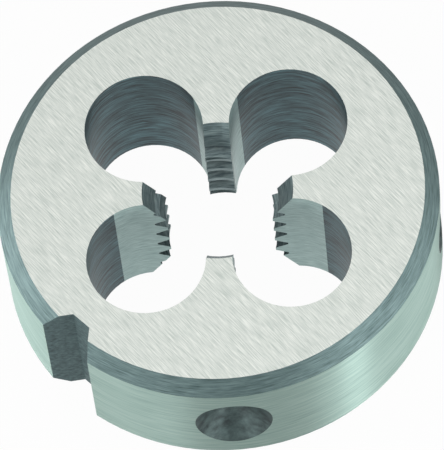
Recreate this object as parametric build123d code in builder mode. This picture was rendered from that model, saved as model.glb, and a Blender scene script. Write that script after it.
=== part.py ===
from build123d import *

import os
from math import ceil, radians, sqrt, tan

# Round threading die for an external M6 x 1 right-hand thread.
#
# The die is one hardened steel disc. The thread runs through its middle, four chip
# holes break it into four cutting lands, and a cone at each face gives every land
# its tapered lead. The rim carries a setting notch over the thin web of one chip
# hole, and four conical dimples for the screws of a die stock.
#
# The origin is on the thread axis at the lower face, with +Z up along the axis. The
# lands are centred on +X, +Y, -X and -Y.

# Blank
disc_diameter = 20.0
thickness = 7.0
rim_chamfer = 0.65

# Thread that the die cuts
thread_diameter = 6.0
pitch = 1.0
thread_flank_angle = 30.0  # each flank, off the plane square to the axis
thread_phase = 203.0  # angle round the axis where the groove meets the lower face
groove_clearance = 0.02  # room beyond the crest of the finished rod

# Lead cone at each face
lead_mouth_diameter = 6.84
lead_length = 1.75

# Chip holes, midway between the lands
land_count = 4
chip_hole_diameter = 5.39
chip_hole_circle_diameter = 9.26

# Setting notch, over the web of the third chip hole
notch_floor_radius = 8.79
notch_floor_width = 1.0
notch_wall_angle = 38.5  # each wall, off the centre plane of the notch

# Dimples, in two pairs placed either side of the notch
dimple_diameter = 3.78
dimple_cone_angle = 90.0
near_dimple_offset = 47.0
far_dimple_offset = 135.0

# Worked out from the sizes above
disc_radius = disc_diameter / 2
groove_radius = thread_diameter / 2 + groove_clearance
crest_radius = thread_diameter / 2 - 5 / 16 * sqrt(3) * pitch  # minor radius
half_step = 180.0 / land_count
notch_angle = 180.0 + half_step
overshoot = pitch  # how far each cutting shape runs clear of the solid


def groove_turn():
    """One right-hand turn of the thread groove, starting at +X. Its flanks run on
    inside the bore, so that they cross the bore's wall and do not end on it."""
    inner_radius = crest_radius - pitch / 10
    flank_slope = tan(radians(thread_flank_angle))
    floor_half = pitch / 16
    mouth_half = floor_half + (groove_radius - inner_radius) * flank_slope
    with BuildPart() as turn:
        with BuildLine() as path:
            Helix(pitch, pitch, crest_radius)
        with BuildSketch(Plane.XZ):
            with BuildLine():
                Polyline(
                    (inner_radius, -mouth_half),
                    (groove_radius, -floor_half),
                    (groove_radius, floor_half),
                    (inner_radius, mouth_half),
                    close=True,
                )
            make_face()
        sweep(path=path.wires()[0], is_frenet=True)
    return turn.part


def rim_plane(angle):
    """Plane across the radius at that angle, clear of the rim, facing the axis."""
    outward = Vector(1, 0, 0).rotate(Axis.Z, angle)
    origin = outward * (disc_radius + overshoot) + Vector(0, 0, thickness / 2)
    return Plane(origin=origin, z_dir=-outward)


with BuildPart() as round_die:
    # Turned blank, chamfered at both rims
    Cylinder(disc_radius, thickness, align=(Align.CENTER, Align.CENTER, Align.MIN))
    chamfer(round_die.edges().filter_by(GeomType.CIRCLE), rim_chamfer)

    # Bore at the thread's minor diameter
    with Locations((0, 0, thickness)):
        Hole(crest_radius)

    # Thread, one turn at a time, from below the lower face to above the upper one
    turn = groove_turn()
    for number in range(-1, ceil(thickness / pitch) + 1):
        with Locations(Location((0, 0, number * pitch), (0, 0, thread_phase))):
            add(turn, mode=Mode.SUBTRACT)

    # Lead cone at each face, widest at the face
    mouth_radius = lead_mouth_diameter / 2
    cone_at_base = (Align.CENTER, Align.CENTER, Align.MIN)
    for face in (Plane.XY, Plane(origin=(0, 0, thickness), z_dir=(0, 0, -1))):
        with Locations(face):
            Cone(mouth_radius, crest_radius, lead_length, align=cone_at_base, mode=Mode.SUBTRACT)

    # Chip holes
    with Locations((0, 0, thickness)):
        with PolarLocations(
            chip_hole_circle_diameter / 2, land_count, start_angle=half_step
        ):
            Hole(chip_hole_diameter / 2)

    # Setting notch, through the whole thickness
    with BuildSketch(Plane.XY.rotated((0, 0, notch_angle))):
        outer_radius = disc_radius + overshoot
        floor_half = notch_floor_width / 2
        outer_half = floor_half + (outer_radius - notch_floor_radius) * tan(
            radians(notch_wall_angle)
        )
        with BuildLine():
            Polyline(
                (notch_floor_radius, -floor_half),
                (outer_radius, -outer_half),
                (outer_radius, outer_half),
                (notch_floor_radius, floor_half),
                close=True,
            )
        make_face()
    extrude(amount=thickness, mode=Mode.SUBTRACT)

    # Dimples, at mid-thickness
    cone_slope = tan(radians(dimple_cone_angle / 2))
    cone_mouth_radius = dimple_diameter / 2 + overshoot * cone_slope
    for offset in (near_dimple_offset, far_dimple_offset):
        for side in (-1, 1):
            with Locations(rim_plane(notch_angle + side * offset)):
                Cone(
                    cone_mouth_radius,
                    0,
                    cone_mouth_radius / cone_slope,
                    align=cone_at_base,
                    mode=Mode.SUBTRACT,
                )

round_die.part.label = "round_die"

os.makedirs("parts", exist_ok=True)
export_step(round_die.part, "parts/round_die.step")
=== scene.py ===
from math import atan2, copysign, cos, degrees, hypot, radians, sin

import bmesh
import bpy
from mathutils import Matrix, Vector


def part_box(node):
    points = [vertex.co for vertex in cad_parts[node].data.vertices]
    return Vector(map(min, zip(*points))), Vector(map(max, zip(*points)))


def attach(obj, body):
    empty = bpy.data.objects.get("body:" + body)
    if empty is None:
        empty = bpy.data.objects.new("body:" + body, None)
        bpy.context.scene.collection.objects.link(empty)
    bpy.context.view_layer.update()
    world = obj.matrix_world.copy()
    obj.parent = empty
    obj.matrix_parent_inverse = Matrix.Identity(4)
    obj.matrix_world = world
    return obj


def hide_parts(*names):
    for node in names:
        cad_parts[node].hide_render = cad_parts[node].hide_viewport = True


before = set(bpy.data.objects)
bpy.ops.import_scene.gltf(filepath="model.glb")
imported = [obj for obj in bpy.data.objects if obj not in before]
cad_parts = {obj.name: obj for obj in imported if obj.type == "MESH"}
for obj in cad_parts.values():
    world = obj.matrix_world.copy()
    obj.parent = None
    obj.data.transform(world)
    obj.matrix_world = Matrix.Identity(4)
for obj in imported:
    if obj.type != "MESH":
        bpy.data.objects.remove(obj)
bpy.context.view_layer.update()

MM = 0.001
low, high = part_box("round_die")
RIM_RADIUS = (high.x - low.x) / 2
THICKNESS = high.z - low.z
MID_HEIGHT = (high.z + low.z) / 2
RIM_CHAMFER = 0.65 * MM
CHIP_HOLE_RADIUS = 2.695 * MM
CHIP_HOLE_CIRCLE_RADIUS = 4.63 * MM
CHIP_HOLE_ANGLES = [45, 135, 225, 315]
LAND_ANGLES = [0, 90, 180, 270]
HALF_STEP = 45  # from the middle of a land to the middle of a chip hole
LAND_HALF_WIDTH = CHIP_HOLE_CIRCLE_RADIUS * sin(radians(HALF_STEP)) - CHIP_HOLE_RADIUS
LAND_TOP_RADIUS = 3.5 * MM  # thread and lead cones all lie inside this
SHARPENED_ANGLE = 77  # how far round each chip hole the sharpening reaches, each way
SHARPENED_REACH = CHIP_HOLE_CIRCLE_RADIUS - CHIP_HOLE_RADIUS * cos(radians(SHARPENED_ANGLE))
NOTCH_ANGLE = 225
NOTCH_HALF_SPREAD = 12  # degrees either side of the notch's centre plane
DIMPLE_ANGLES = [NOTCH_ANGLE + offset for offset in (-135, -47, 47, 135)]
DIMPLE_CONE_ANGLE = 90

# How closely a facet has to follow a surface to belong to it. A direction is judged by
# the cosine between the facet's normal and the surface's own.
SQUARE_TO_AXIS = 0.999
UPRIGHT = 0.05  # most of the normal along Z on the rim and in the notch
UPRIGHT_IN_HOLE = 0.01
ON_WALL = 0.03 * MM  # off the chip hole's true circle
WALL_COSINE = 0.98
ON_FLANK = 0.02 * MM
FLANK_COSINE = 0.99
ON_RIM = 0.99  # share of the rim's radius
RIM_COSINE = 0.995
CHAMFER_LEAN = cos(radians(45))
CHAMFER_SLACK = 0.03
CHAMFER_COSINE = 0.68
CONE_TIP = 0.05 * MM  # so near to a dimple's centre line a facet keeps its own normal


def polar(angle):
    """Unit vector at that many degrees round the axis."""
    return Vector((cos(radians(angle)), sin(radians(angle)), 0))


def zone_of(point, normal):
    """Which surface of the die a face belongs to, by where it is and how it leans. What
    no rule claims is a dimple."""
    radius = hypot(point.x, point.y)
    flat = Vector((point.x, point.y, 0))
    if abs(normal.z) > SQUARE_TO_AXIS:
        return "face"
    for angle in CHIP_HOLE_ANGLES:
        from_axis = flat - polar(angle) * CHIP_HOLE_CIRCLE_RADIUS
        if abs(from_axis.length - CHIP_HOLE_RADIUS) < ON_WALL and abs(normal.z) < UPRIGHT_IN_HOLE:
            if abs(from_axis.normalized().dot(normal)) > WALL_COSINE:
                return "sharpened" if flat.dot(polar(angle)) < SHARPENED_REACH else "chip_hole"
    for angle in LAND_ANGLES:
        across = polar(angle + 90)
        if abs(abs(flat.dot(across)) - LAND_HALF_WIDTH) < ON_FLANK and radius < LAND_TOP_RADIUS:
            if abs(normal.dot(across)) > FLANK_COSINE:
                return "sharpened"
    if radius < LAND_TOP_RADIUS:
        return "thread"
    outward = flat.normalized()
    on_rim = outward.dot(normal) > RIM_COSINE and radius > RIM_RADIUS * ON_RIM
    if abs(normal.z) < UPRIGHT and on_rim:
        return "rim"
    off_notch = abs((degrees(atan2(point.y, point.x)) - NOTCH_ANGLE + 180) % 360 - 180)
    if off_notch < NOTCH_HALF_SPREAD and abs(normal.z) < UPRIGHT:
        return "notch"
    if abs(abs(normal.z) - CHAMFER_LEAN) < CHAMFER_SLACK and outward.dot(normal) > CHAMFER_COSINE:
        if min(point.z - low.z, high.z - point.z) < RIM_CHAMFER:
            return "chamfer"
    return "dimple"


def true_normal(zone, point, normal):
    """The normal that the real surface has at a point, where it follows a rule. On the
    thread and in the notch it is the face's own."""
    outward = Vector((point.x, point.y, 0)).normalized()
    if zone == "face":
        return Vector((0, 0, 1 if normal.z > 0 else -1))
    if zone == "rim":
        return outward
    if zone == "chamfer":
        return (outward + Vector((0, 0, 1 if normal.z > 0 else -1))).normalized()
    if zone in ("chip_hole", "sharpened"):
        # Round the hole, and constant from where a land's flat flank leaves the circle
        hole = max((polar(angle) for angle in CHIP_HOLE_ANGLES), key=lambda way: way.dot(outward))
        from_axis = Vector((point.x, point.y, 0)) - hole * CHIP_HOLE_CIRCLE_RADIUS
        off_inward = atan2(-hole.cross(from_axis).z, -hole.dot(from_axis))
        off_inward = copysign(max(abs(off_inward), radians(HALF_STEP)), off_inward)
        return Matrix.Rotation(off_inward, 3, "Z") @ hole
    if zone == "dimple":
        directions = [polar(angle) for angle in DIMPLE_ANGLES]
        along = max(directions, key=lambda direction: direction.dot(outward))
        centre = Vector((0, 0, MID_HEIGHT))
        across = point - centre - along * (point - centre).dot(along)
        if across.length > CONE_TIP:
            lean = radians(DIMPLE_CONE_ANGLE / 2)
            return (along * sin(lean) - across.normalized() * cos(lean)).normalized()
    return normal


def light_value(channel):
    """One sRGB channel, 0 to 255, as linear light."""
    value = channel / 255
    return value / 12.92 if value <= 0.04045 else ((value + 0.055) / 1.055) ** 2.4


def colour(hex_value):
    """Linear colour from an sRGB hex value."""
    return [light_value(int(hex_value[at : at + 2], 16)) for at in (1, 3, 5)] + [1]


def add_node(tree, kind, inputs=None, **settings):
    """Adds one node. Each input is set to a value, or linked if it is a socket."""
    node = tree.nodes.new(kind)
    for name, value in settings.items():
        setattr(node, name, value)
    for name, value in (inputs or {}).items():
        if isinstance(value, bpy.types.NodeSocket):
            tree.links.new(value, node.inputs[name])
        else:
            node.inputs[name].default_value = value
    return node


def tool_marks(tree, turn, along, across, height, waviness=0.0):
    """Noise drawn out into marks, from 0 to 1. along, across and height are the
    length of a mark in millimetres on the three axes, after a turn about Z. Where the
    real marks are too fine to show, these are drawn coarser. waviness bends them."""
    coordinates = add_node(tree, "ShaderNodeTexCoord").outputs["Object"]
    scale = [1 / (length * MM) for length in (along, across, height)]
    # The turn comes first, so the marks are stretched along their own direction
    turned = add_node(
        tree,
        "ShaderNodeVectorRotate",
        {"Vector": coordinates, "Angle": radians(-turn)},
        rotation_type="Z_AXIS",
    )
    stretched = add_node(
        tree,
        "ShaderNodeVectorMath",
        {0: turned.outputs[0], 1: scale},
        operation="MULTIPLY",
    )
    noise = add_node(
        tree,
        "ShaderNodeTexNoise",
        {
            "Vector": stretched.outputs[0],
            "Scale": 1.0,
            "Detail": 3.0,
            "Roughness": 0.6,
            "Distortion": waviness,
        },
    )
    return noise.outputs["Fac"]


def between(tree, factor, dark, light, start, end):
    """Colour that runs from dark to light as the factor goes from start to end."""
    ramp = add_node(tree, "ShaderNodeValToRGB", {"Fac": factor})
    ramp.color_ramp.elements[0].position = start
    ramp.color_ramp.elements[0].color = colour(dark)
    ramp.color_ramp.elements[1].position = end
    ramp.color_ramp.elements[1].color = colour(light)
    return ramp.outputs["Color"]


PAINTED_GAP_SHADE = "#0C1416"  # painted shade in the gaps between the thread's teeth
ACROSS_THE_MARKS = 0.25  # of a turn, from the direction of the marks


def bare_steel(name, marks, colours, spread, metallic, roughness, depth, anisotropy=0.0, gap_shade_reach=0.0):
    """Hardened steel with tool marks. marks gives their turn, size and waviness for
    tool_marks, colours the dark and the light of them, spread where the noise turns from
    one to the other, depth how deep they are in mm. The last argument is how far in mm a gap
    reaches before it counts as closed; there an ambient occlusion node paints shade into
    the base colour."""
    material = bpy.data.materials.new(name)
    material.use_nodes = True
    tree = material.node_tree
    shader = tree.nodes["Principled BSDF"]
    noise = tool_marks(tree, *marks)
    tone = between(tree, noise, *colours, *spread)
    # Painted shade: in gaps that the ambient occlusion finds closed, the base colour is mixed towards a
    # dark shade colour.
    if gap_shade_reach:
        openness = add_node(tree, "ShaderNodeAmbientOcclusion", {"Distance": gap_shade_reach * MM})
        tone = add_node(
            tree,
            "ShaderNodeMix",
            {"Factor": openness.outputs["AO"], "A": colour(PAINTED_GAP_SHADE), "B": tone},
            data_type="RGBA",
        ).outputs["Result"]
    tree.links.new(tone, shader.inputs["Base Color"])
    bump = add_node(tree, "ShaderNodeBump", {"Height": noise, "Strength": 0.5, "Distance": depth * MM})
    tree.links.new(bump.outputs["Normal"], shader.inputs["Normal"])
    shader.inputs["Metallic"].default_value = metallic
    shader.inputs["Roughness"].default_value = roughness
    if anisotropy:
        # Marks that run round the axis spread a lamp's reflection across themselves
        shader.inputs["Anisotropic"].default_value = anisotropy
        shader.inputs["Anisotropic Rotation"].default_value = ACROSS_THE_MARKS
        tangent = add_node(tree, "ShaderNodeTangent", direction_type="RADIAL", axis="Z")
        tree.links.new(tangent.outputs["Tangent"], shader.inputs["Tangent"])
    return material


# Surface-ground steel: straight wheel lines across the whole face, pale and even.
GRINDING_ANGLE = -50  # the wheel's path, in degrees from +X
ground_face = bare_steel(
    "surface_ground_steel",
    marks=(GRINDING_ANGLE, 0.9, 0.05, 1.0),
    colours=("#B4BEB8", "#EDF0EA"),
    spread=(0.28, 0.72),
    metallic=0.7,
    roughness=0.42,
    depth=0.0012,
)
# Cylindrically ground steel: fine rings round the rim, that draw each lamp's reflection
# into an upright streak. Its base colour is greener and darker than the face's as painted
# shade, on the side of the die away from the light above; the lamps add the brighter streaks.
ground_rim = bare_steel(
    "cylindrically_ground_steel",
    marks=(0, 2.5, 2.5, 0.09),
    colours=("#7D958E", "#9DB1AA"),
    spread=(0.3, 0.7),
    metallic=0.75,
    roughness=0.5,
    depth=0.0015,
    anisotropy=1.0,
)
# Turned and hardened steel, not ground afterwards: grey-green, with fine short rings.
turned_chamfer = bare_steel(
    "turned_hardened_steel",
    marks=(0, 0.9, 0.9, 0.035),
    colours=("#3C5050", "#6C8181"),
    spread=(0.3, 0.7),
    metallic=0.6,
    roughness=0.5,
    depth=0.004,
)
# Drilled steel: dark, with wavy rings left by the drill's lips all the way down the hole.
drilled_hole = bare_steel(
    "drilled_steel",
    marks=(0, 1.5, 1.5, 0.11, 0.8),
    colours=("#0F1E22", "#557980"),
    spread=(0.36, 0.66),
    metallic=0.65,
    roughness=0.42,
    depth=0.012,
)
# Sharpened walls: a small wheel run down the hole leaves paler steel next to each land.
sharpened_wall = bare_steel(
    "sharpened_steel",
    marks=(0, 0.7, 0.7, 0.06, 0.4),
    colours=("#8AA8A6", "#C2DAD6"),
    spread=(0.3, 0.72),
    metallic=0.6,
    roughness=0.4,
    depth=0.004,
)
# Cut thread and lead cones: smeared by the tap, with short marks along the thread, and
# painted shade down in the gaps between the teeth, darkest where they close.
cut_thread = bare_steel(
    "tapped_steel",
    marks=(0, 0.7, 0.7, 0.05),
    colours=("#4E6166", "#A2B6B6"),
    spread=(0.3, 0.72),
    metallic=0.65,
    roughness=0.4,
    depth=0.003,
    gap_shade_reach=1.0,
)
# Milled notch: left as hardened, dark and grainy with faint cutter steps.
milled_notch = bare_steel(
    "milled_hardened_steel",
    marks=(0, 0.22, 0.22, 0.15),
    colours=("#263C3F", "#577071"),
    spread=(0.3, 0.72),
    metallic=0.5,
    roughness=0.55,
    depth=0.012,
)
# Countersunk dimple: oxide from hardening stays in the cone, so it is dark and dull.
countersunk = bare_steel(
    "countersunk_hardened_steel",
    marks=(0, 0.5, 0.5, 0.3),
    colours=("#222E2F", "#4C5E5D"),
    spread=(0.3, 0.72),
    metallic=0.5,
    roughness=0.5,
    depth=0.008,
)
# Broken edge: where the stone has touched, the steel is brighter than beside it.
stoned_edge = bare_steel(
    "stoned_edge_steel",
    marks=(0, 0.4, 0.4, 0.4),
    colours=("#A9BBB4", "#D2DED6"),
    spread=(0.3, 0.7),
    metallic=0.7,
    roughness=0.35,
    depth=0.001,
)
FINISHES = {
    "face": ground_face,
    "rim": ground_rim,
    "chamfer": turned_chamfer,
    "chip_hole": drilled_hole,
    "sharpened": sharpened_wall,
    "thread": cut_thread,
    "notch": milled_notch,
    "dimple": countersunk,
}
ZONE_ORDER = list(FINISHES)


SAME_POINT = 0.001 * MM  # vertices closer than this are one


def merged_copy(source):
    """A copy of the node's mesh with its loose triangles joined into one skin."""
    mesh = source.data.copy()
    skin = bmesh.new()
    skin.from_mesh(mesh)
    bmesh.ops.remove_doubles(skin, verts=skin.verts, dist=SAME_POINT)
    skin.to_mesh(mesh)
    skin.free()
    return mesh


FLANK_MARGIN = 0.012 * MM  # keeps each flank clear of the hole wall's last facet


def flank_bars():
    """Four square bars, one in each chip hole. The sides that face the lands are the
    lands' flanks, which run straight in from where the hole is narrowest between two."""
    near = LAND_HALF_WIDTH + FLANK_MARGIN
    far = CHIP_HOLE_CIRCLE_RADIUS * cos(radians(HALF_STEP))
    size = Matrix.Diagonal((far - near, far - near, 2 * THICKNESS, 1))
    place = Matrix.Translation(((near + far) / 2, (near + far) / 2, MID_HEIGHT))
    skin = bmesh.new()
    for angle in LAND_ANGLES:
        bmesh.ops.create_cube(skin, size=1, matrix=Matrix.Rotation(radians(angle), 4, "Z") @ place @ size)
    mesh = bpy.data.meshes.new("flank_bars")
    skin.to_mesh(mesh)
    skin.free()
    return mesh


def apply_modifiers(piece):
    """Turns the piece into a plain mesh with its modifiers' result."""
    bpy.context.view_layer.update()
    depsgraph = bpy.context.evaluated_depsgraph_get()
    piece.data = bpy.data.meshes.new_from_object(piece.evaluated_get(depsgraph))
    piece.modifiers.clear()


LEVEL = 0.9999  # share of a facet's normal along Z where it counts as level
LEVEL_ANGLE = radians(0.2)  # facets within this angle of each other become one


def divide_and_clear(mesh):
    """Cuts the walls of the chip holes along the border between their two finishes, and
    clears the two flat faces of the lines between their triangles."""
    skin = bmesh.new()
    skin.from_mesh(mesh)
    for angle in CHIP_HOLE_ANGLES:
        walls = [
            face
            for face in skin.faces
            if zone_of(face.calc_center_median(), face.normal) in ("chip_hole", "sharpened")
            and face.calc_center_median().dot(polar(angle)) > LAND_HALF_WIDTH
        ]
        edges = {edge for face in walls for edge in face.edges}
        corners = {corner for face in walls for corner in face.verts}
        bmesh.ops.bisect_plane(
            skin,
            geom=walls + list(edges) + list(corners),
            plane_co=polar(angle) * SHARPENED_REACH,
            plane_no=polar(angle),
            dist=SAME_POINT,
        )
    flat_edges = [
        edge
        for edge in skin.edges
        if len(edge.link_faces) == 2 and all(abs(face.normal.z) > LEVEL for face in edge.link_faces)
    ]
    bmesh.ops.dissolve_limit(
        skin, angle_limit=LEVEL_ANGLE, edges=flat_edges, verts=[], use_dissolve_boundaries=False
    )
    skin.to_mesh(mesh)
    skin.free()


die = bpy.data.objects.new("die_body", merged_copy(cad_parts["round_die"]))
bpy.context.scene.collection.objects.link(die)
bars = bpy.data.objects.new("flank_bars", flank_bars())
bpy.context.scene.collection.objects.link(bars)
flanks = die.modifiers.new("flanks", "BOOLEAN")
flanks.object = bars
flanks.operation = "DIFFERENCE"
flanks.solver = "EXACT"
apply_modifiers(die)
bpy.data.objects.remove(bars)
divide_and_clear(die.data)
die.data.materials.clear()
for finish in [*FINISHES.values(), stoned_edge]:
    die.data.materials.append(finish)
for polygon in die.data.polygons:
    polygon.material_index = ZONE_ORDER.index(zone_of(polygon.center, polygon.normal))

EDGE_BREAK = 0.03 * MM
SHARP_ANGLE = radians(25)
# The clamp holds the whole break to what the shortest edge in the mesh allows, so it
# comes out far finer than its width says, and neither it nor its finish shows.
edge_break = die.modifiers.new("edge_break", "BEVEL")
edge_break.width = EDGE_BREAK
edge_break.segments = 2
edge_break.limit_method = "ANGLE"
edge_break.angle_limit = SHARP_ANGLE
edge_break.material = len(FINISHES)
edge_break.use_clamp_overlap = True
apply_modifiers(die)
finished = die.data

for polygon in finished.polygons:
    polygon.use_smooth = True
corner_normals = [Vector(corner.vector) for corner in finished.corner_normals]
vertex_zone_normals = {}
for polygon in finished.polygons:
    if polygon.material_index < len(ZONE_ORDER):
        zone = ZONE_ORDER[polygon.material_index]
        for loop in polygon.loop_indices:
            vertex = finished.loops[loop].vertex_index
            point = finished.vertices[vertex].co
            shape = true_normal(zone, point, polygon.normal)
            corner_normals[loop] = shape
            vertex_zone_normals[vertex] = shape
for polygon in finished.polygons:
    if polygon.material_index == len(ZONE_ORDER):
        for loop in polygon.loop_indices:
            vertex = finished.loops[loop].vertex_index
            if vertex in vertex_zone_normals:
                corner_normals[loop] = vertex_zone_normals[vertex]
finished.normals_split_custom_set(corner_normals)

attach(die, "root")
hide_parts("round_die")

# The table: a pale surface that stays white behind the die and takes a soft shadow.
TABLE_SIZE = 600 * MM
bpy.ops.mesh.primitive_plane_add(size=TABLE_SIZE, location=(0, 0, low.z))
table = bpy.context.object
table.name = "table"
table_paint = bpy.data.materials.new("white_table")
table_paint.use_nodes = True
tree = table_paint.node_tree
tree.nodes.clear()
path = add_node(tree, "ShaderNodeLightPath")
seen = add_node(
    tree,
    "ShaderNodeMath",
    {0: path.outputs["Is Camera Ray"], 1: path.outputs["Is Glossy Ray"]},
    operation="MAXIMUM",
)
paint = add_node(tree, "ShaderNodeBsdfDiffuse", {"Color": colour("#E6E8E6")})
glow = add_node(tree, "ShaderNodeEmission", {"Color": (1, 1, 1, 1), "Strength": 1.0})
GLOW_SHARE = 0.97
share = add_node(tree, "ShaderNodeMath", {0: seen.outputs[0], 1: GLOW_SHARE}, operation="MULTIPLY")
mixed = add_node(
    tree,
    "ShaderNodeMixShader",
    {0: share.outputs[0], 1: paint.outputs[0], 2: glow.outputs[0]},
)
add_node(tree, "ShaderNodeOutputMaterial", {"Surface": mixed.outputs[0]})
table.data.materials.append(table_paint)

# The room: white to the eye and in reflections, a plain grey level for lighting.
AMBIENT = 0.25
world = bpy.data.worlds.new("white_room")
bpy.context.scene.world = world
world.use_nodes = True
tree = world.node_tree
tree.nodes.clear()
path = add_node(tree, "ShaderNodeLightPath")
glossy_or_camera = add_node(
    tree,
    "ShaderNodeMath",
    {0: path.outputs["Is Camera Ray"], 1: path.outputs["Is Glossy Ray"]},
    operation="MAXIMUM",
)
seen = add_node(
    tree,
    "ShaderNodeMath",
    {0: glossy_or_camera.outputs[0], 1: path.outputs["Is Transmission Ray"]},
    operation="MAXIMUM",
)
level = add_node(
    tree,
    "ShaderNodeMapRange",
    {"Value": seen.outputs[0], "To Min": AMBIENT, "To Max": 1.0},
)
room = add_node(tree, "ShaderNodeBackground", {"Strength": level.outputs[0]})
add_node(tree, "ShaderNodeOutputWorld", {"Surface": room.outputs[0]})


def soft_box(name, azimuth, elevation, distance, width, height, power):
    """A rectangular studio lamp that faces the die, placed by its direction in degrees.
    Its distance, width and height are in mm and its power in watts."""
    lamp = bpy.data.lights.new(name, "AREA")
    lamp.shape = "RECTANGLE"
    lamp.size = width * MM
    lamp.size_y = height * MM
    lamp.energy = power
    box = bpy.data.objects.new(name, lamp)
    direction = polar(azimuth) * cos(radians(elevation)) + Vector((0, 0, sin(radians(elevation))))
    box.location = direction * distance * MM
    box.rotation_euler = direction.to_track_quat("Z", "Y").to_euler()
    bpy.context.scene.collection.objects.link(box)


# Low lamps round the rim. The rings of its grinding draw each into an upright streak, and
# the gap between the left and right ones leaves the rim dark there. The wide lamp high
# above lights the face.
soft_box("lamp_right", 336, 12, 55, 74, 18, 0.0185)
soft_box("lamp_streak", 317, 12, 55, 10, 18, 0.0045)
soft_box("lamp_front_left", 235, 12, 55, 40, 18, 0.009)
soft_box("lamp_left", 180, 12, 55, 50, 18, 0.018)
soft_box("lamp_above", 80, 75, 260, 160, 160, 0.080)

# The camera, at a long distance and well above the die.
FRAME_WIDTH, FRAME_HEIGHT = 444, 450
SENSOR = 36.0
CAMERA_AZIMUTH = 5.297
CAMERA_ELEVATION = 63.76
CAMERA_ROLL = -7.282
CAMERA_DISTANCE = 269.62 * MM
FOCAL_PIXELS = 6004.1
aim = Vector((0.171 * MM, -1.762 * MM, high.z))
azimuth, elevation, roll = (radians(a) for a in (CAMERA_AZIMUTH, CAMERA_ELEVATION, CAMERA_ROLL))
back = Vector((sin(azimuth) * cos(elevation), -cos(azimuth) * cos(elevation), sin(elevation)))
right = (-back).cross(Vector((0, 0, 1))).normalized()
up = right.cross(-back)
image_right = right * cos(roll) + up * sin(roll)
image_up = up * cos(roll) - right * sin(roll)
lens = bpy.data.cameras.new("camera")
lens.sensor_width = SENSOR
lens.lens = FOCAL_PIXELS * SENSOR / max(FRAME_WIDTH, FRAME_HEIGHT)
lens.clip_start = 10 * MM
camera = bpy.data.objects.new("camera", lens)
axes = Matrix((image_right, image_up, back)).transposed().to_4x4()
camera.matrix_world = Matrix.Translation(aim + back * CAMERA_DISTANCE) @ axes
bpy.context.scene.collection.objects.link(camera)
bpy.context.scene.camera = camera
bpy.context.scene.view_settings.view_transform = "Standard"
